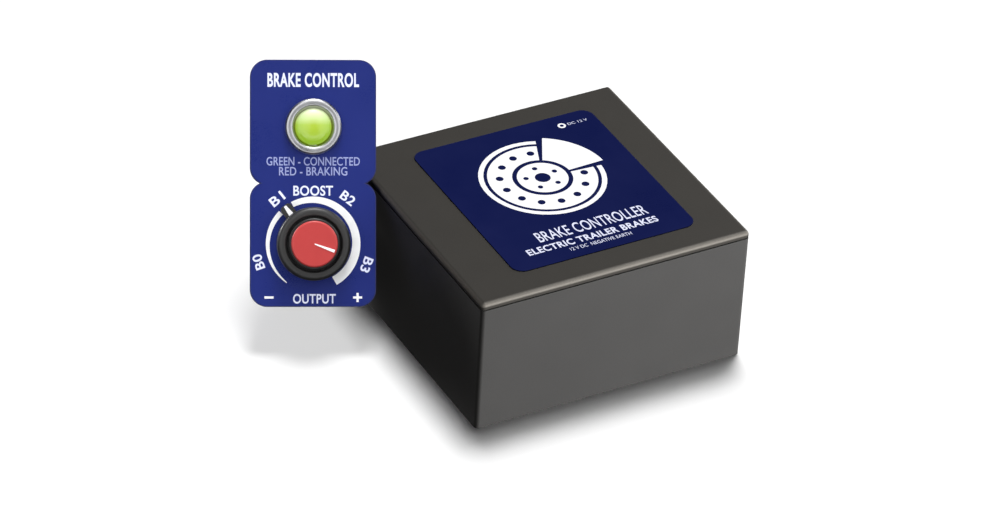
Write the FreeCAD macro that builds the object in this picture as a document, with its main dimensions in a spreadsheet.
import FreeCAD, Part
import math
import os
import re

import Sketcher

# Electric trailer-brake controller: a closed control module with a label on its lid,
# and a small remote head that stands on the edge of its rear cover beside the module.
# Row frame: origin at the centre of the module's base, +Z up, module front towards -Y.
# Head frame: origin at the centre of the facia's front face, +X right, +Y up the facia,
# +Z out of the facia.

doc = FreeCAD.newDocument("brake_controller")
sheet = doc.addObject("Spreadsheet::Sheet", "dims")

DIMENSIONS = {
    # module case and lid
    "case_length": 70, "case_width": 67, "case_height": 35, "case_corner": 1,
    "case_wall": 2.2, "case_floor": 2.5,
    "lid_thick": 1.5, "gasket_thick": 0.45, "gasket_inset": 0.35, "gasket_land": 1.6,
    "label_length": 47.5, "label_width": 52.6, "label_thick": 0.2, "label_corner": 3,
    "label_shift_x": 1.5, "label_shift_y": 0.2,
    # case screws and their columns
    "column_x": 29, "column_y": 27.5, "column_radius": 4.2, "column_top": 26,
    "boss_radius": 3.4, "boss_gap": 0.3,
    "screw_radius": 1.45, "screw_hole": 1.5, "screw_clear": 1.7, "screw_end": 31.5,
    "recess_radius": 3.2, "recess_depth": 3, "head_radius": 2.8, "head_thick": 2.2,
    # main board
    "board_length": 48, "board_width": 58, "board_low": 8, "board_thick": 1.6,
    "standoff_x": 21, "standoff_y": 15.5, "standoff_radius": 2.6,
    "pin_screw": 1.2, "pin_screw_hole": 1.25, "pin_head": 2.2, "pin_head_thick": 1.4,
    # parts on the main board
    "controller_x": -8, "controller_y": -13, "controller_side": 10, "controller_high": 1.5,
    "leg_width": 0.5, "leg_thick": 0.3, "leg_pitch": 1.2, "leg_out": 1.2,
    "sensor_x": 6.5, "sensor_y": -13.5, "sensor_side": 5, "sensor_high": 1.8,
    "can_x": 12, "can_y": 3, "can_step": 12, "can_radius": 5, "can_high": 16,
    "groove_up": 2, "groove_high": 0.8, "groove_deep": 0.5,
    "coil_y": 4, "coil_radius": 6.5, "coil_eye": 3, "coil_high": 5.5, "coil_round": 1.2,
    "shunt_x": 12, "shunt_y": -26, "shunt_thick": 2, "shunt_length": 14, "shunt_high": 5,
    # rear sockets
    "socket_depth": 13.5, "socket_height": 11, "socket_wall": 1.7, "socket_gap": 0.2,
    "cavity_depth": 11, "pin_length": 5,
    "harness_x": -9, "harness_width": 26, "harness_pitch": 5, "harness_pin": 1.2,
    "plug_x": 15, "plug_width": 15, "plug_pitch": 2.5, "plug_pin": 0.6,
    # heat spreader and transistors
    "spreader_thick": 2.5, "spreader_width": 44, "spreader_height": 22, "spreader_foot": 5,
    "tab_width": 10, "tab_height": 16, "tab_thick": 1.3, "chip_height": 9.5,
    "chip_thick": 3.2, "transistor_y": 11, "transistor_low": 13.5, "tab_hole_up": 13,
    "tab_hole": 1.6, "tap_radius": 1.5, "tab_screw": 1.42, "tab_screw_head": 2.6,
    "wall_gap": 0.3, "leg_step": 2.54,
    # loose head: place and attitude
    "head_x": -48.73, "head_y": 24.24, "head_turn": -24.4, "head_lean": 35,
    # head facia and housing
    "facia_width": 29.2, "facia_height": 57.2, "lobe_height": 29, "facia_round": 4,
    "facia_thick": 2,
    "facia_bevel": 0.3, "overlay_thick": 0.2, "overlay_inset": 0.25,
    "shell_half": 8.5, "shell_wall": 1.5, "shell_round": 1.5,
    "shell_top": 26.5, "shell_step": -3, "shell_drop": 27,
    "upper_depth": 13, "head_depth": 23.9, "cover_thick": 1.6,
    "stud_top": 22.6, "stud_low": -23, "stud_radius": 2.2, "stud_hole": 1.05,
    "stud_joint": 6, "stud_seat": 10, "stud_access": 2.3,
    "cover_screw_x": 4.9, "cover_screw_y": -23.4, "rib_reach": 2.8,
    "cover_block_x": 5.3, "cover_block_width": 4, "cover_block_deep": 3.6,
    "cover_block_high": 8,
    "small_screw": 1.0, "small_head": 1.8, "small_head_thick": 1.2,
    # indicator lamp
    "lamp_y": 13.1, "lens_radius": 4.25, "lens_bore": 4.32, "barrel_radius": 5.0,
    "barrel_hole": 5.1, "barrel_low": -7, "bezel_radius": 6.55, "bezel_high": 2.0,
    "bezel_lip": 0.5, "bezel_round": 0.8, "dish_low": 0.8,
    "lens_low": -1.8, "lens_shoulder": 0.9, "lens_high": 2.5,
    "lamp_nut_flat": 12, "lamp_nut_thick": 2.4,
    "lamp_radius": 2.5, "lamp_flange": 2.9, "flange_thick": 0.8, "lamp_low": -7.2,
    "lamp_high": 4, "lamp_leg": 0.5,
    # board behind the lamp
    "panel_width": 13, "panel_height": 25.3, "panel_thick": 1.2, "panel_low_y": -4.8,
    "panel_low_z": -9.4, "panel_port": 1.6,
    # dual control
    "dial_y": -14, "bush_radius": 4.5, "bush_bore": 3.08, "bush_hole": 4.6,
    "bush_high": 2.4, "bush_nut_flat": 11, "bush_nut_thick": 1.6,
    "ring_radius": 8.5, "ring_low": 0.5, "ring_high": 6.0, "ring_recess": 6.9,
    "ring_web_low": 2.8, "ring_web_high": 3.6, "ring_mouth": 6.35,
    "tab_reach": 11.1, "tab_half": 1.4, "tab_high": 2.6, "boost_rest": 37.3,
    "tube_radius": 3.0, "tube_bore": 2.0, "tube_low": -7.5,
    "shaft_radius": 1.9, "shaft_low": -15, "knob_radius": 5.9, "knob_low": 4.9,
    "knob_high": 7.0, "cap_radius": 5.35, "cap_high": 8.6, "cap_round": 0.45,
    "mark_thick": 0.12, "output_rest": -110,
    "control_half": 6.5, "control_low": -14, "bush_seat": 3, "neck_radius": 3.2,
    "rear_bore": 2.1, "chamber_radius": 5.6, "chamber_high": 3, "boost_chamber": -8.5,
    "output_chamber": -12.8, "track_radius": 5.4, "track_eye": 3.6, "track_thick": 0.3,
    "track_gap": 1.6, "wiper_radius": 4.6, "wiper_thick": 0.6, "wiper_finger": 1.2,
    "rotor_radius": 4.4, "rotor_low": -11.2, "rotor_thick": 0.8, "finger_start": 2.9,
    "terminal_wide": 0.8, "terminal_out": 2.2, "terminal_thick": 0.35, "terminal_pitch": 2.5,
    "switch_low": -20.4, "switch_floor": 1.0,
    "plunger_radius": 3.6, "plunger_thick": 1.4, "stem_radius": 1.2, "stem_low": -18.2,
    "switch_bore": 4.6, "wire_radius": 0.25, "spring_radius": 2.3,
    # cable inlet
    "inlet_y": 8, "inlet_bore": 1.9, "inlet_neck": 2.9, "inlet_hole": 3.0,
    "inlet_flange": 4.0,
}
for row, (alias, value) in enumerate(DIMENSIONS.items(), start=1):
    sheet.set(f"A{row}", alias)
    sheet.set(f"B{row}", str(value))
    sheet.setAlias(f"B{row}", alias)
doc.recompute()

NODES = {}


def fx(formula):
    """Write a formula on the sheet's aliases the way the document reads it."""
    def named(match):
        word = match.group(0)
        return "dims." + word if word in DIMENSIONS else word
    return re.sub(r"[a-z_]+", named, str(formula))


def bind(thing, prop, formula):
    thing.setExpression(prop, fx(formula))


def size(alias):
    return float(sheet.get(alias))


# ---------------------------------------------------------------- primitives and booleans


def place(thing, low):
    for letter, formula in zip("xyz", low):
        bind(thing, "Placement.Base." + letter, formula)


def box(name, sides, low):
    thing = doc.addObject("Part::Box", name)
    for prop, formula in zip(("Length", "Width", "Height"), sides):
        bind(thing, prop, formula)
    place(thing, low)
    return thing


def rod(name, radius, length, base, tilt=None):
    """A cylinder along +Z from its base, or along another axis with tilt (axis, angle)."""
    thing = doc.addObject("Part::Cylinder", name)
    bind(thing, "Radius", radius)
    bind(thing, "Height", length)
    if tilt:
        axis, angle = tilt
        turn = FreeCAD.Rotation(FreeCAD.Vector(*axis), angle)
        thing.Placement = FreeCAD.Placement(FreeCAD.Vector(), turn)
    place(thing, base)
    return thing


def fuse(name, shapes):
    thing = doc.addObject("Part::MultiFuse", name)
    thing.Shapes = shapes
    return thing


def cut(name, base, tools):
    tool = tools[0] if len(tools) == 1 else fuse(name + "_tools", tools)
    thing = doc.addObject("Part::Cut", name)
    thing.Base = base
    thing.Tool = tool
    return thing


def group(name, shapes):
    """Equal loose pieces that share one node stay separate solids."""
    thing = doc.addObject("Part::Compound", name)
    thing.Links = shapes
    return thing


# ---------------------------------------------------------------- bodies, sketches, features


def body(name):
    return doc.addObject("PartDesign::Body", name)


def plane(owner, role):
    return [item for item in owner.Origin.OriginFeatures if item.Role == role][0]


def sketch(owner, name, offset="0", role="XY_Plane"):
    thing = owner.newObject("Sketcher::SketchObject", name)
    thing.AttachmentSupport = [(plane(owner, role), "")]
    thing.MapMode = "FlatFace"
    bind(thing, "AttachmentOffset.Base.z", offset)
    return thing


def pin_point(target, geometry, point, x, y, start):
    for kind, formula, value in (("DistanceX", x, start.x), ("DistanceY", y, start.y)):
        rule = Sketcher.Constraint(kind, -1, 1, geometry, point, value)
        number = target.addConstraint(rule)
        bind(target, f"Constraints[{number}]", formula)


def polygon(target, points):
    """A closed outline whose corners are all held by the sheet's dimensions."""
    count = len(points)
    step = 2 * math.pi / count
    start = [FreeCAD.Vector(30 * math.cos(step * i), 30 * math.sin(step * i), 0)
             for i in range(count)]
    first = target.GeometryCount
    for i in range(count):
        target.addGeometry(Part.LineSegment(start[i], start[(i + 1) % count]), False)
    for i in range(count):
        after = first + (i + 1) % count
        target.addConstraint(Sketcher.Constraint("Coincident", first + i, 2, after, 1))
    for i, (x, y) in enumerate(points):
        pin_point(target, first + i, 1, x, y, start[i])


def rectangle(target, half_x, half_y, x="0", y="0"):
    polygon(target, [(f"{x} - ({half_x})", f"{y} - ({half_y})"),
                     (f"{x} + ({half_x})", f"{y} - ({half_y})"),
                     (f"{x} + ({half_x})", f"{y} + ({half_y})"),
                     (f"{x} - ({half_x})", f"{y} + ({half_y})")])


def circle(target, radius, x="0", y="0"):
    start = FreeCAD.Vector(5, 7, 0)
    item = target.addGeometry(Part.Circle(start, FreeCAD.Vector(0, 0, 1), 3), False)
    pin_point(target, item, 3, x, y, start)
    number = target.addConstraint(Sketcher.Constraint("Radius", item, 3))
    bind(target, f"Constraints[{number}]", radius)


def hexagon(target, flat):
    """Across flats = flat, corners on the Y axis."""
    side = f"({flat}) / 2"
    corner = f"({flat}) / 3 ^ 0.5"
    half = f"({flat}) / 2 / 3 ^ 0.5"
    polygon(target, [("0", f"-({corner})"), (side, f"-({half})"), (side, half),
                     ("0", corner), (f"-({side})", half), (f"-({side})", f"-({half})")])


def checked(owner, feature, grows):
    """Recompute and make sure that a feature really adds or removes material."""
    before = owner.Shape.Volume if owner.Shape.Solids else 0.0
    doc.recompute()
    change = owner.Shape.Volume - before
    if (change > 0) != grows or abs(change) < 1e-6:
        raise RuntimeError(f"{owner.Name}: {feature.Name} has no effect")
    return feature


def pad(owner, profile, length):
    feature = owner.newObject("PartDesign::Pad", profile.Name + "_pad")
    feature.Profile = profile
    bind(feature, "Length", length)
    return checked(owner, feature, True)


def pocket(owner, profile, length):
    feature = owner.newObject("PartDesign::Pocket", profile.Name + "_pocket")
    feature.Profile = profile
    bind(feature, "Length", length)
    return checked(owner, feature, False)


def edge_names(shape, wanted):
    return [f"Edge{i}" for i, edge in enumerate(shape.Edges, start=1) if wanted(edge)]


def round_edges(owner, wanted, radius):
    base = owner.Tip
    names = edge_names(base.Shape, wanted)
    if not names:
        raise RuntimeError(f"{owner.Name}: no edge to round")
    feature = owner.newObject("PartDesign::Fillet", owner.Name + "_round")
    feature.Base = (base, names)
    bind(feature, "Radius", radius)
    doc.recompute()
    return feature


def upright(edge):
    box_of = edge.BoundBox
    return box_of.ZLength > 0.05 and box_of.XLength < 1e-6 and box_of.YLength < 1e-6


def at_level(level):
    def wanted(edge):
        box_of = edge.BoundBox
        return box_of.ZLength < 1e-6 and abs(box_of.ZMin - level) < 1e-4
    return wanted


def ring_edge(level, radius):
    def wanted(edge):
        curve = edge.Curve
        if not isinstance(curve, Part.Circle):
            return False
        return abs(curve.Center.z - level) < 1e-4 and abs(curve.Radius - radius) < 1e-4
    return wanted


def lathe(name, points):
    """A body turned about its own Z axis from (radius, height) points."""
    owner = body(name)
    profile = sketch(owner, name + "_profile", role="XZ_Plane")
    polygon(profile, points)
    doc.recompute()
    feature = owner.newObject("PartDesign::Revolution", name + "_turned")
    feature.Profile = profile
    feature.ReferenceAxis = (profile, ["V_Axis"])
    feature.Angle = 360
    checked(owner, feature, True)
    return owner


def tube(name, outer, inner, low, high):
    return lathe(name, [(inner, low), (outer, low), (outer, high), (inner, high)])


def slab(name, half_x, half_y, low, thick, corner, x="0", y="0"):
    """A flat plate with rounded corners."""
    owner = body(name)
    outline = sketch(owner, name + "_outline", low)
    rectangle(outline, half_x, half_y, x, y)
    pad(owner, outline, thick)
    round_edges(owner, upright, corner)
    return owner


def node(label, thing, placement=None):
    """Register a finished piece under its own label, at its place in the row frame."""
    thing.Label = label
    if placement is not None:
        thing.Placement = placement
    NODES[label] = thing


def corners(x, y):
    return [(f"{sx} * {x}", f"{sy} * {y}") for sx in (-1, 1) for sy in (-1, 1)]


# ================================================================ control module

# Case: a rounded box, open at the top, with four screw columns, four board standoffs
# and two socket windows in its rear wall.
CASE_TOP = "case_height - lid_thick - gasket_thick"
case = body("case")
outline = sketch(case, "case_outline")
rectangle(outline, "case_length / 2", "case_width / 2")
pad(case, outline, CASE_TOP)
round_edges(case, upright, "case_corner")
inside = sketch(case, "case_inside", CASE_TOP)
rectangle(inside, "case_length / 2 - case_wall", "case_width / 2 - case_wall")
pocket(case, inside, f"{CASE_TOP} - case_floor")
columns = sketch(case, "case_columns", "case_floor - 0.5")
for x, y in corners("column_x", "column_y"):
    circle(columns, "column_radius", x, y)
pad(case, columns, "column_top - case_floor + 0.5")
standoffs = sketch(case, "case_standoffs", "case_floor - 0.5")
for x, y in corners("standoff_x", "standoff_y"):
    circle(standoffs, "standoff_radius", x, y)
pad(case, standoffs, "board_low - case_floor + 0.5")
bores = sketch(case, "case_bores", "column_top")
for x, y in corners("column_x", "column_y"):
    circle(bores, "screw_clear", x, y)
pocket(case, bores, "column_top")
recesses = sketch(case, "case_recesses", "recess_depth")
for x, y in corners("column_x", "column_y"):
    circle(recesses, "recess_radius", x, y)
pocket(case, recesses, "recess_depth")
threads = sketch(case, "case_threads", "board_low")
for x, y in corners("standoff_x", "standoff_y"):
    circle(threads, "pin_screw_hole", x, y)
pocket(case, threads, "board_low - 3.2")
windows = sketch(case, "case_windows", "-(case_width / 2 - case_wall - 0.5)", "XZ_Plane")
BOARD_TOP = "board_low + board_thick"
for x, width in (("harness_x", "harness_width"), ("plug_x", "plug_width")):
    rectangle(windows, f"{width} / 2 + socket_gap", "socket_height / 2 + socket_gap",
              x, f"{BOARD_TOP} + socket_height / 2")
pocket(case, windows, "case_wall + 1")
node("case_body", case)

# Lid: a plate rounded along its top edge, with four bosses that take the screws.
lid = body("lid")
outline = sketch(lid, "lid_outline", "case_height - lid_thick")
rectangle(outline, "case_length / 2", "case_width / 2")
pad(lid, outline, "lid_thick")
upper_edge = at_level(size("case_height"))
round_edges(lid, lambda edge: upright(edge) or upper_edge(edge), "case_corner")
bosses = sketch(lid, "lid_bosses", "column_top + boss_gap")
for x, y in corners("column_x", "column_y"):
    circle(bosses, "boss_radius", x, y)
pad(lid, bosses, "case_height - lid_thick - column_top - boss_gap + 0.2")
holes = sketch(lid, "lid_holes", "screw_end + 0.3")
for x, y in corners("column_x", "column_y"):
    circle(holes, "screw_hole", x, y)
pocket(lid, holes, "screw_end - column_top")
node("case_lid", lid)

# Gasket: a flat ring set back from the outside, which leaves the seam under the lid.
gasket = body("gasket")
outline = sketch(gasket, "gasket_outline", CASE_TOP)
rectangle(outline, "case_length / 2 - gasket_inset", "case_width / 2 - gasket_inset")
pad(gasket, outline, "gasket_thick")
round_edges(gasket, upright, "case_corner - gasket_inset")
opening = sketch(gasket, "gasket_opening", "case_height - lid_thick")
rectangle(opening, "case_length / 2 - gasket_inset - gasket_land",
          "case_width / 2 - gasket_inset - gasket_land")
pocket(gasket, opening, "gasket_thick")
node("lid_gasket", gasket)

node("lid_label", slab("label", "label_length / 2", "label_width / 2", "case_height",
                       "label_thick", "label_corner", "label_shift_x", "label_shift_y"))

# Case screws: pan heads in the base recesses, shanks up through the columns.
screws = []
for i, (x, y) in enumerate(corners("column_x", "column_y"), start=1):
    head = rod(f"case_screw_head_{i}", "head_radius", "head_thick",
               (x, y, "recess_depth - head_thick"))
    shank = rod(f"case_screw_shank_{i}", "screw_radius", "screw_end - recess_depth + 0.5",
                (x, y, "recess_depth - 0.5"))
    slot = box(f"case_screw_slot_{i}", ("head_radius * 1.3", "0.7", "0.9"),
               (f"{x} - head_radius * 0.65", f"{y} - 0.35", "recess_depth - head_thick"))
    screws.append(cut(f"case_screw_{i}", fuse(f"case_screw_blank_{i}", [head, shank]), [slot]))
node("case_screws", group("case_screw_set", screws))

# Main board with clearance holes over the standoffs, and its screws.
board = body("board")
outline = sketch(board, "board_outline", "board_low")
rectangle(outline, "board_length / 2", "board_width / 2")
pad(board, outline, "board_thick")
holes = sketch(board, "board_holes", BOARD_TOP)
for x, y in corners("standoff_x", "standoff_y"):
    circle(holes, "pin_screw_hole + 0.1", x, y)
pocket(board, holes, "board_thick")
node("main_board", board)

screws = []
for i, (x, y) in enumerate(corners("standoff_x", "standoff_y"), start=1):
    head = rod(f"board_screw_head_{i}", "pin_head", "pin_head_thick", (x, y, BOARD_TOP))
    shank = rod(f"board_screw_shank_{i}", "pin_screw", "board_thick + 4.2",
                (x, y, f"{BOARD_TOP} - board_thick - 4"))
    screws.append(fuse(f"board_screw_{i}", [head, shank]))
node("board_screws", group("board_screw_set", screws))

# Chips on the board: a flat package with gull-wing legs on four sides, and a small
# motion sensor that feels how hard the vehicle slows down.
legs = [box("controller_chip", ("controller_side", "controller_side", "controller_high - 0.1"),
            ("controller_x - controller_side / 2", "controller_y - controller_side / 2",
             f"{BOARD_TOP} + 0.1"))]
LEG_SPAN = "controller_side + 2 * leg_out"
for i in range(-3, 4):
    step = f"leg_pitch * {i} - leg_width / 2"
    legs.append(box(f"leg_row_x_{i + 3}", ("leg_width", LEG_SPAN, "leg_thick"),
                    (f"controller_x + {step}", f"controller_y - ({LEG_SPAN}) / 2", BOARD_TOP)))
    legs.append(box(f"leg_row_y_{i + 3}", (LEG_SPAN, "leg_width", "leg_thick"),
                    (f"controller_x - ({LEG_SPAN}) / 2", f"controller_y + {step}", BOARD_TOP)))
node("microcontroller", fuse("controller_package", legs))
sensor = box("sensor_can", ("sensor_side", "sensor_side", "sensor_high"),
             ("sensor_x - sensor_side / 2", "sensor_y - sensor_side / 2", BOARD_TOP))
dot = rod("sensor_dot", 0.5, 0.3, ("sensor_x - 1.5", "sensor_y - 1.5",
                                   f"{BOARD_TOP} + sensor_high - 0.2"))
node("motion_sensor", cut("sensor_package", sensor, [dot]))

# Filter capacitors (grooved cans), choke coil (a wound ring) and current shunt.
cans = []
for i, side in enumerate((-1, 1), start=1):
    spot = ("can_x", f"can_y + {side} * can_step / 2")
    low = f"{BOARD_TOP} + groove_up"
    can = rod(f"can_{i}", "can_radius", "can_high", (*spot, BOARD_TOP))
    rim = rod(f"can_rim_{i}", "can_radius + groove_deep", "groove_high", (*spot, low))
    core = rod(f"can_core_{i}", "can_radius - groove_deep", "groove_high", (*spot, low))
    cans.append(cut(f"capacitor_{i}", can, [cut(f"can_groove_{i}", rim, [core])]))
node("filter_capacitors", group("capacitor_pair", cans))

coil = body("coil")
outline = sketch(coil, "coil_section", BOARD_TOP)
circle(outline, "coil_radius", "0", "coil_y")
circle(outline, "coil_eye", "0", "coil_y")
pad(coil, outline, "coil_high")
round_edges(coil, lambda edge: isinstance(edge.Curve, Part.Circle), "coil_round")
node("choke_coil", coil)

bridge = box("shunt_block", ("shunt_thick", "shunt_length", "shunt_high"),
             ("shunt_x", "shunt_y", BOARD_TOP))
span = box("shunt_gap", ("shunt_thick", "shunt_length - 2 * shunt_thick", "shunt_high - 1"),
           ("shunt_x", "shunt_y + shunt_thick", BOARD_TOP))
node("current_shunt", cut("shunt_bridge", bridge, [span]))

# Heat spreader: an L of aluminium beside the left wall, carrying two transistors.
LEAF_X = "-(case_length / 2 - case_wall) + wall_gap"
FACE_X = f"{LEAF_X} + spreader_thick"
TAB_HOLE_UP = "transistor_low + tab_hole_up"
ALONG_X = ((0, 1, 0), 90)
leaf = box("spreader_leaf", ("spreader_thick", "spreader_width", "spreader_height"),
           (LEAF_X, "-spreader_width / 2", f"{BOARD_TOP} + 0.4"))
foot = box("spreader_foot_plate", ("spreader_foot", "spreader_width", "2"),
           (LEAF_X, "-spreader_width / 2", f"{BOARD_TOP} + 0.4"))
taps = [rod(f"spreader_tap_{i}", "tap_radius", "spreader_thick + 2",
            (f"{LEAF_X} - 1", f"{side} * transistor_y", TAB_HOLE_UP), ALONG_X)
        for i, side in enumerate((-1, 1))]
node("heat_spreader", cut("spreader", fuse("spreader_blank", [leaf, foot]), taps))

chips = []
bolts = []
for i, side in enumerate((-1, 1)):
    y = f"{side} * transistor_y"
    tab = box(f"power_tab_{i}", ("tab_thick", "tab_width", "tab_height"),
              (FACE_X, f"{y} - tab_width / 2", "transistor_low"))
    chip = box(f"power_chip_{i}", ("tab_thick + chip_thick", "tab_width", "chip_height"),
               (FACE_X, f"{y} - tab_width / 2", "transistor_low"))
    parts = [tab, chip]
    for k in (-1, 0, 1):
        parts.append(box(f"power_leg_{i}_{k + 1}",
                         ("0.6", "0.9", f"transistor_low - ({BOARD_TOP}) + 1"),
                         (f"{FACE_X} + tab_thick + 2", f"{y} + leg_step * {k} - 0.45",
                          BOARD_TOP)))
    hole = rod(f"power_hole_{i}", "tab_hole", 8, (f"{FACE_X} - 1", y, TAB_HOLE_UP), ALONG_X)
    chips.append(cut(f"power_transistor_{i}", fuse(f"power_body_{i}", parts), [hole]))
    head = rod(f"power_screw_head_{i}", "tab_screw_head", 1.8,
               (f"{FACE_X} + tab_thick", y, TAB_HOLE_UP), ALONG_X)
    shank = rod(f"power_screw_shank_{i}", "tab_screw", "spreader_thick + tab_thick",
                (f"{LEAF_X} + 0.2", y, TAB_HOLE_UP), ALONG_X)
    bolts.append(fuse(f"power_screw_{i}", [head, shank]))
node("power_transistors", group("power_pair", chips))
node("transistor_screws", group("power_screw_pair", bolts))


def rear_socket(label, x, width, pitch, pin, row):
    """A shrouded socket flush with the rear wall, and its row of bent pins."""
    mid = f"{BOARD_TOP} + socket_height / 2"
    mouth = "case_width / 2"
    shell = box(label + "_shell", (width, "socket_depth", "socket_height"),
                (f"{x} - {width} / 2", f"{mouth} - socket_depth", BOARD_TOP))
    hollow = box(label + "_hollow", (f"{width} - 2 * socket_wall", "cavity_depth + 1",
                                     "socket_height - 2 * socket_wall"),
                 (f"{x} - {width} / 2 + socket_wall", f"{mouth} - cavity_depth",
                  f"{BOARD_TOP} + socket_wall"))
    key = box(label + "_key", ("2.4", "cavity_depth + 1", "socket_wall + 0.2"),
              (f"{x} - 1.2", f"{mouth} - cavity_depth",
               f"{BOARD_TOP} + socket_height - socket_wall - 0.1"))
    slots = []
    pins = []
    for i, k in enumerate(row):
        side = f"{x} + {k} * {pitch} - {pin} / 2"
        slots.append(box(f"{label}_slot_{i}", (pin, "6", pin),
                         (side, f"{mouth} - socket_depth - 1", f"{mid} - {pin} / 2")))
        run = "socket_depth - cavity_depth + pin_length + 2"
        straight = box(f"{label}_run_{i}", (pin, run, pin),
                       (side, f"{mouth} - socket_depth - 2", f"{mid} - {pin} / 2"))
        drop = box(f"{label}_drop_{i}", (pin, pin, f"socket_height / 2 + {pin} / 2"),
                   (side, f"{mouth} - socket_depth - 2", BOARD_TOP))
        pins.append(fuse(f"{label}_pin_{i}", [straight, drop]))
    return cut(label + "_housing", shell, [hollow, key] + slots), group(label + "_row", pins)


housing, pins = rear_socket("harness", "harness_x", "harness_width", "harness_pitch",
                            "harness_pin", (-1.5, -0.5, 0.5, 1.5))
node("harness_header", housing)
node("harness_pins", pins)
housing, pins = rear_socket("plug", "plug_x", "plug_width", "plug_pitch", "plug_pin",
                            (-1.5, -0.5, 0.5, 1.5))
node("head_socket", housing)
node("head_socket_contacts", pins)

# ================================================================ remote head

# The head stands on the lower rear edge of its cover and leans back, so its height
# follows from its own size.
doc.recompute()
lean = math.radians(size("head_lean"))
head_height = size("shell_drop") * math.cos(lean) + size("head_depth") * math.sin(lean)
yaw = FreeCAD.Rotation(FreeCAD.Vector(0, 0, 1), size("head_turn"))
pitch = FreeCAD.Rotation(FreeCAD.Vector(1, 0, 0), 90 - size("head_lean"))
HEAD = FreeCAD.Placement(
    FreeCAD.Vector(size("head_x"), size("head_y"), head_height), yaw.multiply(pitch))


def on_head(x=0, y=0, z=0, spin=0):
    turn = FreeCAD.Rotation(FreeCAD.Vector(0, 0, 1), spin)
    return HEAD.multiply(FreeCAD.Placement(FreeCAD.Vector(x, y, z), turn))


LAMP = on_head(y=size("lamp_y"))
DIAL = on_head(y=size("dial_y"))
BOOST = on_head(y=size("dial_y"), spin=size("boost_rest"))
OUTPUT = on_head(y=size("dial_y"), spin=size("output_rest"))
LOBE = "(facia_height - lobe_height) / 2"


def two_lobes(name, inset, low, thick):
    """Two rounded squares, one above the other, run into each other at the waist."""
    lobes = []
    for label, sign in (("upper", "1"), ("lower", "-1")):
        lobes.append(slab(f"{name}_{label}", f"facia_width / 2 - {inset}",
                          f"lobe_height / 2 - {inset}", low, thick,
                          f"facia_round - {inset}", "0", f"{sign} * {LOBE}"))
    return fuse(name, lobes)


# Facia plate: bevelled at the front, bored for the lamp and the control, with two
# rear studs for the head screws.
plate = two_lobes("plate", "0", "-facia_thick", "facia_thick - facia_bevel")
front = two_lobes("plate_front", "facia_bevel * 0.5", "-facia_bevel - 0.1",
                  "facia_bevel + 0.1")
studs = [rod(f"facia_stud_{y}", "stud_radius", "stud_joint - facia_thick + 0.2",
             ("0", y, "-stud_joint")) for y in ("stud_top", "stud_low")]
facia_holes = [rod("lamp_opening", "barrel_hole", 6, ("0", "lamp_y", "-4")),
               rod("dial_opening", "bush_hole", 6, ("0", "dial_y", "-4"))]
facia_holes += [rod(f"facia_thread_{y}", "stud_hole", "stud_joint - 2.0",
                    ("0", y, "-stud_joint - 0.5")) for y in ("stud_top", "stud_low")]
node("facia_plate", cut("facia", fuse("facia_blank", [plate, front] + studs), facia_holes),
     HEAD)

# Printed overlay on the facia, open round the bezel barrel and the control's nut.
overlay = two_lobes("overlay_sheet", "overlay_inset", "0", "overlay_thick")
rings = [rod("overlay_lamp", "barrel_hole", 2, ("0", "lamp_y", "-1")),
         rod("overlay_dial", "ring_recess", 2, ("0", "dial_y", "-1"))]
node("facia_label", cut("overlay", overlay, rings), HEAD)

# Housing: a stepped shell, shallow behind the lamp and deep behind the control, open
# at the back of its deep part, with bosses for the screws and a hole for the cable.
deep = slab("shell_deep", "shell_half", "(shell_drop + shell_step) / 2",
            "-head_depth + cover_thick", "head_depth - cover_thick - facia_thick",
            "shell_round", "0", "-(shell_drop - shell_step) / 2")
shallow = slab("shell_shallow", "shell_half", "(shell_top + shell_drop) / 2",
               "-upper_depth", "upper_depth - facia_thick", "shell_round", "0",
               "(shell_top - shell_drop) / 2")
hollow_deep = box("hollow_deep", ("2 * (shell_half - shell_wall)",
                                  "shell_drop + shell_step - 2 * shell_wall",
                                  "head_depth + 2"),
                  ("-(shell_half - shell_wall)", "-shell_drop + shell_wall",
                   "-head_depth - 1"))
hollow_shallow = box("hollow_shallow",
                     ("2 * (shell_half - shell_wall)",
                      "shell_top + shell_drop - 2 * shell_wall",
                      "upper_depth - shell_wall"),
                     ("-(shell_half - shell_wall)", "-shell_drop + shell_wall",
                      "-upper_depth + shell_wall"))
shell = cut("shell_open", fuse("shell_blank", [deep, shallow]),
            [hollow_deep, hollow_shallow])
ends = []
for y, start in (("stud_top", "stud_top"), ("stud_low", "stud_low - rib_reach")):
    ends.append(rod(f"shell_boss_{y}", "stud_radius", "stud_seat - stud_joint - 0.1",
                    ("0", y, "-stud_seat")))
    ends.append(box(f"shell_rib_{y}", ("2 * stud_radius", "rib_reach",
                                       "stud_seat - stud_joint - 0.1"),
                    ("-stud_radius", start, "-stud_seat")))
for side in (-1, 1):
    ends.append(box(f"cover_block_{side + 1}",
                    ("cover_block_width", "cover_block_deep", "cover_block_high"),
                    (f"{side} * cover_block_x - cover_block_width / 2", "-shell_drop + 1",
                     "-head_depth + cover_thick")))
bores = [rod("shell_access", "stud_access", "4", ("0", "stud_top", "-upper_depth - 1")),
         rod("shell_inlet", "inlet_hole", "4", ("0", "inlet_y", "-upper_depth - 1"))]
bores += [rod(f"shell_clear_{y}", "stud_hole + 0.1", "stud_seat",
              ("0", y, "-stud_seat - 1")) for y in ("stud_top", "stud_low")]
bores += [rod(f"cover_thread_{side + 1}", "small_screw + 0.05", "cover_thick + 6",
              (f"{side} * cover_screw_x", "cover_screw_y", "-head_depth"))
          for side in (-1, 1)]
node("head_housing", cut("shell", fuse("shell_full", [shell] + ends), bores), HEAD)

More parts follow.
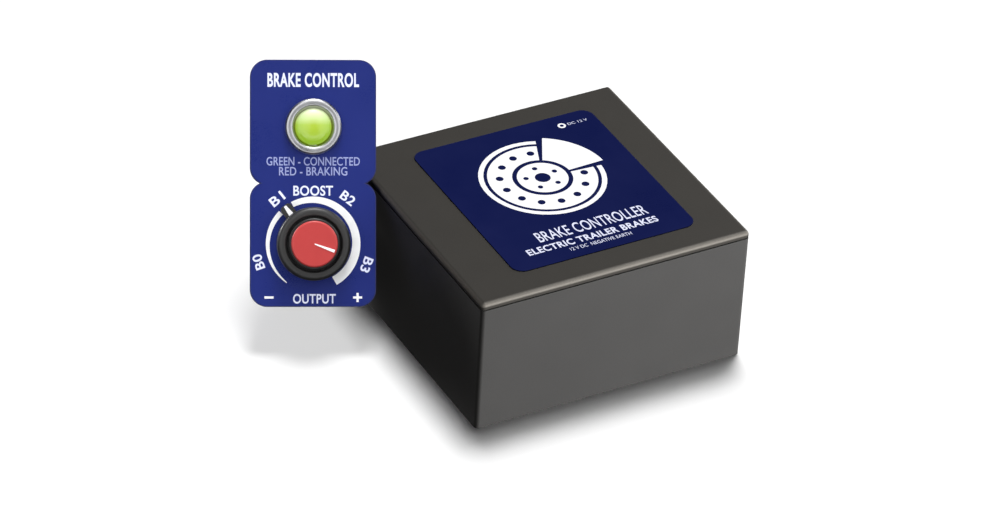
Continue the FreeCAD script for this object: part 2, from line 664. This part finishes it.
# Rear cover of the deep part, with a lip inside the shell and two countersunk recesses.
cover = slab("cover_plate", "shell_half", "(shell_drop + shell_step) / 2", "-head_depth",
             "cover_thick", "shell_round", "0", "-(shell_drop - shell_step) / 2")
lip = box("cover_lip", ("2 * (shell_half - shell_wall) - 0.4", "1.2", "1.8"),
          ("-(shell_half - shell_wall) + 0.2", "shell_step - shell_wall - 1.4",
           "-head_depth + cover_thick - 0.2"))
seats = []
for side in (-1, 1):
    x = f"{side} * cover_screw_x"
    seats.append(rod(f"cover_seat_{side + 1}", "small_head + 0.15", "small_head_thick + 1",
                     (x, "cover_screw_y", "-head_depth - 1")))
    seats.append(rod(f"cover_clear_{side + 1}", "small_screw + 0.15", "4",
                     (x, "cover_screw_y", "-head_depth - 1")))
node("head_cover", cut("cover", fuse("cover_blank", [cover, lip]), seats), HEAD)


def small_screw(name, x, y, seat, length):
    """A pan-head screw seen from behind: its head sits below seat, its shank above."""
    head = rod(name + "_head", "small_head", "small_head_thick",
               (x, y, f"{seat} - small_head_thick"))
    shank = rod(name + "_shank", "small_screw", f"{length} + 0.3", (x, y, f"{seat} - 0.3"))
    slot = box(name + "_slot", ("2.4", "0.5", "0.6"),
               (f"{x} - 1.2", f"{y} - 0.25", f"{seat} - small_head_thick"))
    return cut(name, fuse(name + "_blank", [head, shank]), [slot])


node("cover_screws", group("cover_screw_pair", [
    small_screw(f"cover_screw_{side + 1}", f"{side} * cover_screw_x", "cover_screw_y",
                "-head_depth + small_head_thick", "6") for side in (-1, 1)]), HEAD)
node("head_screws", group("head_screw_pair", [
    small_screw(f"head_screw_{y}", "0", y, "-stud_seat", "stud_seat - 2.6")
    for y in ("stud_top", "stud_low")]), HEAD)

# Small board behind the lamp, with a port for the leads of the cable.
panel = box("head_board_blank", ("panel_width", "panel_height", "panel_thick"),
            ("-panel_width / 2", "panel_low_y", "panel_low_z"))
port = rod("head_board_port", "panel_port", "panel_thick + 2",
           ("0", "inlet_y", "panel_low_z - 1"))
node("head_board", cut("head_board_panel", panel, [port]), HEAD)

# Cable grommet in the back of the shallow part.
grommet = lathe("grommet", [
    ("inlet_bore", "-upper_depth - 2"), ("inlet_flange - 0.6", "-upper_depth - 2"),
    ("inlet_flange", "-upper_depth - 1.2"), ("inlet_flange", "-upper_depth"),
    ("inlet_neck", "-upper_depth"), ("inlet_neck", "-upper_depth + shell_wall"),
    ("inlet_bore", "-upper_depth + shell_wall")])
node("cable_grommet", grommet, on_head(y=size("inlet_y")))

# Indicator: chrome bezel with a rounded rim, its nut, the lens and the lamp behind it.
bezel = lathe("bezel", [
    ("lens_bore", "barrel_low"), ("barrel_radius", "barrel_low"),
    ("barrel_radius", "overlay_thick"), ("bezel_radius", "overlay_thick"),
    ("bezel_radius", "bezel_high"), ("lens_bore + bezel_lip", "bezel_high"),
    ("lens_bore", "dish_low")])
for rim in ("bezel_radius", "lens_bore + bezel_lip"):
    radius = sum(size(word) for word in rim.split(" + "))
    round_edges(bezel, ring_edge(size("bezel_high"), radius), "bezel_round")
node("led_bezel", bezel, LAMP)


def lock_nut(name, flat, bore, low, thick):
    owner = body(name)
    outline = sketch(owner, name + "_outline", low)
    hexagon(outline, flat)
    circle(outline, bore)
    pad(owner, outline, thick)
    return owner


node("led_nut", lock_nut("lamp_nut", "lamp_nut_flat", "barrel_radius",
                         "-facia_thick - lamp_nut_thick", "lamp_nut_thick"), LAMP)

DOME_STEPS = 9
dome = []
for i in range(DOME_STEPS):
    turn = math.pi / 2 * i / DOME_STEPS
    dome.append((f"lens_radius * {math.cos(turn):.5f}",
                 f"lens_shoulder + (lens_high - lens_shoulder) * {math.sin(turn):.5f}"))
lens = lathe("lens", [("0", "lens_low"), ("lens_radius", "lens_low")] + dome
             + [("0", "lens_high")])
node("led_lens", lens, LAMP)

can = rod("lamp_can", "lamp_radius", "lamp_high", (0, 0, "lamp_low"))
flange = rod("lamp_flange_ring", "lamp_flange", "flange_thick", (0, 0, "lamp_low"))
legs = [box(f"lamp_leg_{i}", ("lamp_leg", "lamp_leg", "1.2"),
            (f"{x} - lamp_leg / 2", "-lamp_leg / 2", "lamp_low - 1"))
        for i, x in enumerate((-1.25, 1.25))]
node("led_lamp", fuse("lamp_body", [can, flange] + legs), LAMP)

# Dual control: case with two chambers, tracks, terminals, threaded bush and nut.
HALF = "control_half"
block = box("control_block", (f"2 * {HALF}", f"2 * {HALF}", "-facia_thick - control_low"),
            (f"-{HALF}", f"-{HALF}", "control_low"))
chambers = [
    rod("control_front_bore", "bush_radius", "bush_seat + 0.5",
        (0, 0, "-facia_thick - bush_seat")),
    rod("control_front_neck", "neck_radius", "4", (0, 0, "-facia_thick - bush_seat - 2")),
]
for label, low in (("boost", "boost_chamber"), ("output", "output_chamber")):
    chambers.append(rod(f"control_chamber_{label}", "chamber_radius", "chamber_high",
                        (0, 0, low)))
    chambers.append(rod(f"control_bore_{label}", "rear_bore", "3", (0, 0, f"{low} - 2")))
node("control_case", cut("control", block, chambers), DIAL)

# Tracks: a flat ring on the floor of the front chamber, a drum on the rear one's wall.
TRACK_GAP = ("track_gap", "chamber_radius + 0.4", "chamber_high + 1")
flat_ring = cut("boost_track", rod("boost_track_disc", "track_radius", "track_thick",
                                   (0, 0, "boost_chamber")),
                [rod("boost_track_eye", "track_eye", 1, (0, 0, "boost_chamber - 0.3")),
                 box("boost_track_gap", TRACK_GAP,
                     ("-track_gap / 2", "-chamber_radius - 0.4", "boost_chamber - 0.5"))])
drum = cut("output_track", rod("output_track_sleeve", "chamber_radius", "chamber_high",
                               (0, 0, "output_chamber")),
           [rod("output_track_inside", "chamber_radius - track_thick", 4,
                (0, 0, "output_chamber - 0.5")),
            box("output_track_gap", TRACK_GAP,
                ("-track_gap / 2", "-chamber_radius - 0.4", "output_chamber - 0.5"))])
node("resistive_tracks", group("track_pair", [flat_ring, drum]), DIAL)
pins = []
for row, low in enumerate(("boost_chamber + 3.5", "output_chamber + 1")):
    for i in (-1, 0, 1):
        pins.append(box(f"terminal_{row}_{i + 1}",
                        ("terminal_wide", "terminal_out", "terminal_thick"),
                        (f"terminal_pitch * {i} - terminal_wide / 2", HALF, low)))
node("control_terminals", group("terminal_set", pins), DIAL)

bush = tube("bush", "bush_radius", "bush_bore", "-facia_thick - bush_seat", "bush_high")
node("control_bush", bush, DIAL)
node("bush_nut", lock_nut("dial_nut", "bush_nut_flat", "bush_radius", "0",
                          "bush_nut_thick"), DIAL)

# Override switch behind the control: case, plunger and return spring.
block = box("switch_block", (f"2 * {HALF}", f"2 * {HALF}", "control_low - switch_low"),
            (f"-{HALF}", f"-{HALF}", "switch_low"))
well = rod("switch_well", "switch_bore", 20, (0, 0, "switch_low + switch_floor"))
node("switch_case", cut("switch", block, [well]), DIAL)
plunger = lathe("plunger", [
    ("0", "stem_low"), ("stem_radius", "stem_low"),
    ("stem_radius", "shaft_low - plunger_thick"),
    ("plunger_radius", "shaft_low - plunger_thick"), ("plunger_radius", "shaft_low"),
    ("0", "shaft_low")])
node("override_plunger", plunger, DIAL)

SPRING_RISE = ("(shaft_low - plunger_thick - switch_low - switch_floor"
               " - 2 * wire_radius - 0.1)")
SPRING_LOW = "switch_low + switch_floor + wire_radius + 0.05"
coil = doc.addObject("Part::Helix", "spring_path")
bind(coil, "Radius", "spring_radius")
bind(coil, "Pitch", SPRING_RISE + " / 3")
bind(coil, "Height", SPRING_RISE)
place(coil, ("0", "0", SPRING_LOW))
wire = doc.addObject("Part::Circle", "spring_wire")
bind(wire, "Radius", "wire_radius")
wire.Placement = FreeCAD.Placement(FreeCAD.Vector(),
                                   FreeCAD.Rotation(FreeCAD.Vector(1, 0, 0), 90))
place(wire, ("spring_radius", "0", SPRING_LOW))
spring = doc.addObject("Part::Sweep", "spring")
spring.Sections = [wire]
spring.Spine = coil
spring.Solid = True
spring.Frenet = True
node("override_spring", spring, DIAL)

# Boost ring: rounded on top, hollow below for the nut and above for the output knob,
# with a pointer tab; it turns on a hollow shaft that carries a wiper.
ring = lathe("ring", [
    ("tube_radius", "ring_web_low"), ("ring_recess", "ring_web_low"),
    ("ring_recess", "ring_low"), ("ring_radius", "ring_low"),
    ("ring_radius", "ring_high"), ("ring_mouth", "ring_high"),
    ("ring_mouth", "ring_web_high"), ("tube_radius", "ring_web_high")])
round_edges(ring, ring_edge(size("ring_high"), size("ring_radius")), 1.1)
round_edges(ring, ring_edge(size("ring_high"), size("ring_mouth")), 0.6)
pointer = sketch(ring, "ring_pointer", "ring_low")
polygon(pointer, [("-tab_half", "ring_recess + 0.4"), ("tab_half", "ring_recess + 0.4"),
                  ("tab_half", "tab_reach - 0.5"), ("tab_half - 0.5", "tab_reach"),
                  ("-tab_half + 0.5", "tab_reach"), ("-tab_half", "tab_reach - 0.5")])
pad(ring, pointer, "tab_high - ring_low")
node("boost_ring", ring, BOOST)

mark = body("boost_line")
outline = sketch(mark, "boost_line_outline", "tab_high")
polygon(outline, [("-0.58", "ring_radius + 0.05"), ("0.58", "ring_radius + 0.05"),
                  ("0.29", "tab_reach - 0.15"), ("-0.29", "tab_reach - 0.15")])
pad(mark, outline, "mark_thick")
node("boost_mark", mark, BOOST)

node("boost_shaft", tube("boost_tube", "tube_radius", "tube_bore", "tube_low",
                         "ring_web_high"), BOOST)
hub = rod("boost_wiper_hub", "wiper_radius", "wiper_thick", (0, 0, "tube_low"))
finger = box("boost_wiper_finger", ("wiper_finger", "2.6", "0.5"),
             ("-wiper_finger / 2", "finger_start", "tube_low - 0.4"))
eye = rod("boost_wiper_eye", "tube_radius", 4, (0, 0, "tube_low - 2"))
node("boost_wiper", cut("boost_wiper_disc", fuse("boost_wiper_blank", [hub, finger]), [eye]),
     BOOST)

# Output knob: black skirt, red cap with a white line, and the shaft under them.
knob = lathe("knob", [
    ("shaft_radius", "knob_low"), ("knob_radius", "knob_low"),
    ("knob_radius", "knob_high - 0.2"), ("knob_radius - 0.2", "knob_high"),
    ("0", "knob_high"), ("0", "knob_high - 0.5"), ("shaft_radius", "knob_high - 0.5")])
node("output_knob", knob, OUTPUT)
cap = lathe("cap", [("0", "knob_high"), ("cap_radius", "knob_high"),
                    ("cap_radius", "cap_high"), ("0", "cap_high")])
round_edges(cap, ring_edge(size("cap_high"), size("cap_radius")), "cap_round")
node("output_cap", cap, OUTPUT)
line = body("output_line")
outline = sketch(line, "output_line_outline", "cap_high")
polygon(outline, [("-0.12", "0"), ("0.12", "0"), ("0.35", "cap_radius - 0.5"),
                  ("-0.35", "cap_radius - 0.5")])
pad(line, outline, "mark_thick")
node("output_mark", line, OUTPUT)
node("output_shaft", lathe("knob_shaft", [
    ("0", "shaft_low"), ("shaft_radius", "shaft_low"),
    ("shaft_radius", "knob_high - 0.5"), ("0", "knob_high - 0.5")]), OUTPUT)

# Output rotor: the wiper of the rear chamber. It presses outwards on the drum track, so
# it keeps its contact while the shaft slides.
hub = rod("rotor_hub", "rotor_radius", "rotor_thick", (0, 0, "rotor_low"))
finger = box("rotor_finger", ("wiper_finger", "2.3", "rotor_thick"),
             ("-wiper_finger / 2", "finger_start", "rotor_low"))
eye = rod("rotor_eye", "shaft_radius", 4, (0, 0, "rotor_low - 2"))
node("output_rotor", cut("rotor", fuse("rotor_blank", [hub, finger]), [eye]), OUTPUT)

# ================================================================ checks and files

doc.recompute()
for thing in doc.Objects:
    if "Invalid" in thing.State or "Error" in thing.State:
        raise RuntimeError(f"{thing.Name} failed: {thing.State}")
for label, thing in NODES.items():
    if thing.Shape.isNull() or not thing.Shape.isValid() or not thing.Shape.Solids:
        raise RuntimeError(f"{label} has no valid solid")
os.makedirs("parts", exist_ok=True)
for label, thing in NODES.items():
    thing.Shape.exportStep(f"parts/{label}.step")
    count = len(thing.Shape.Solids)
    print(f"{label:22s} solids {count}  volume {thing.Shape.Volume:10.2f}")
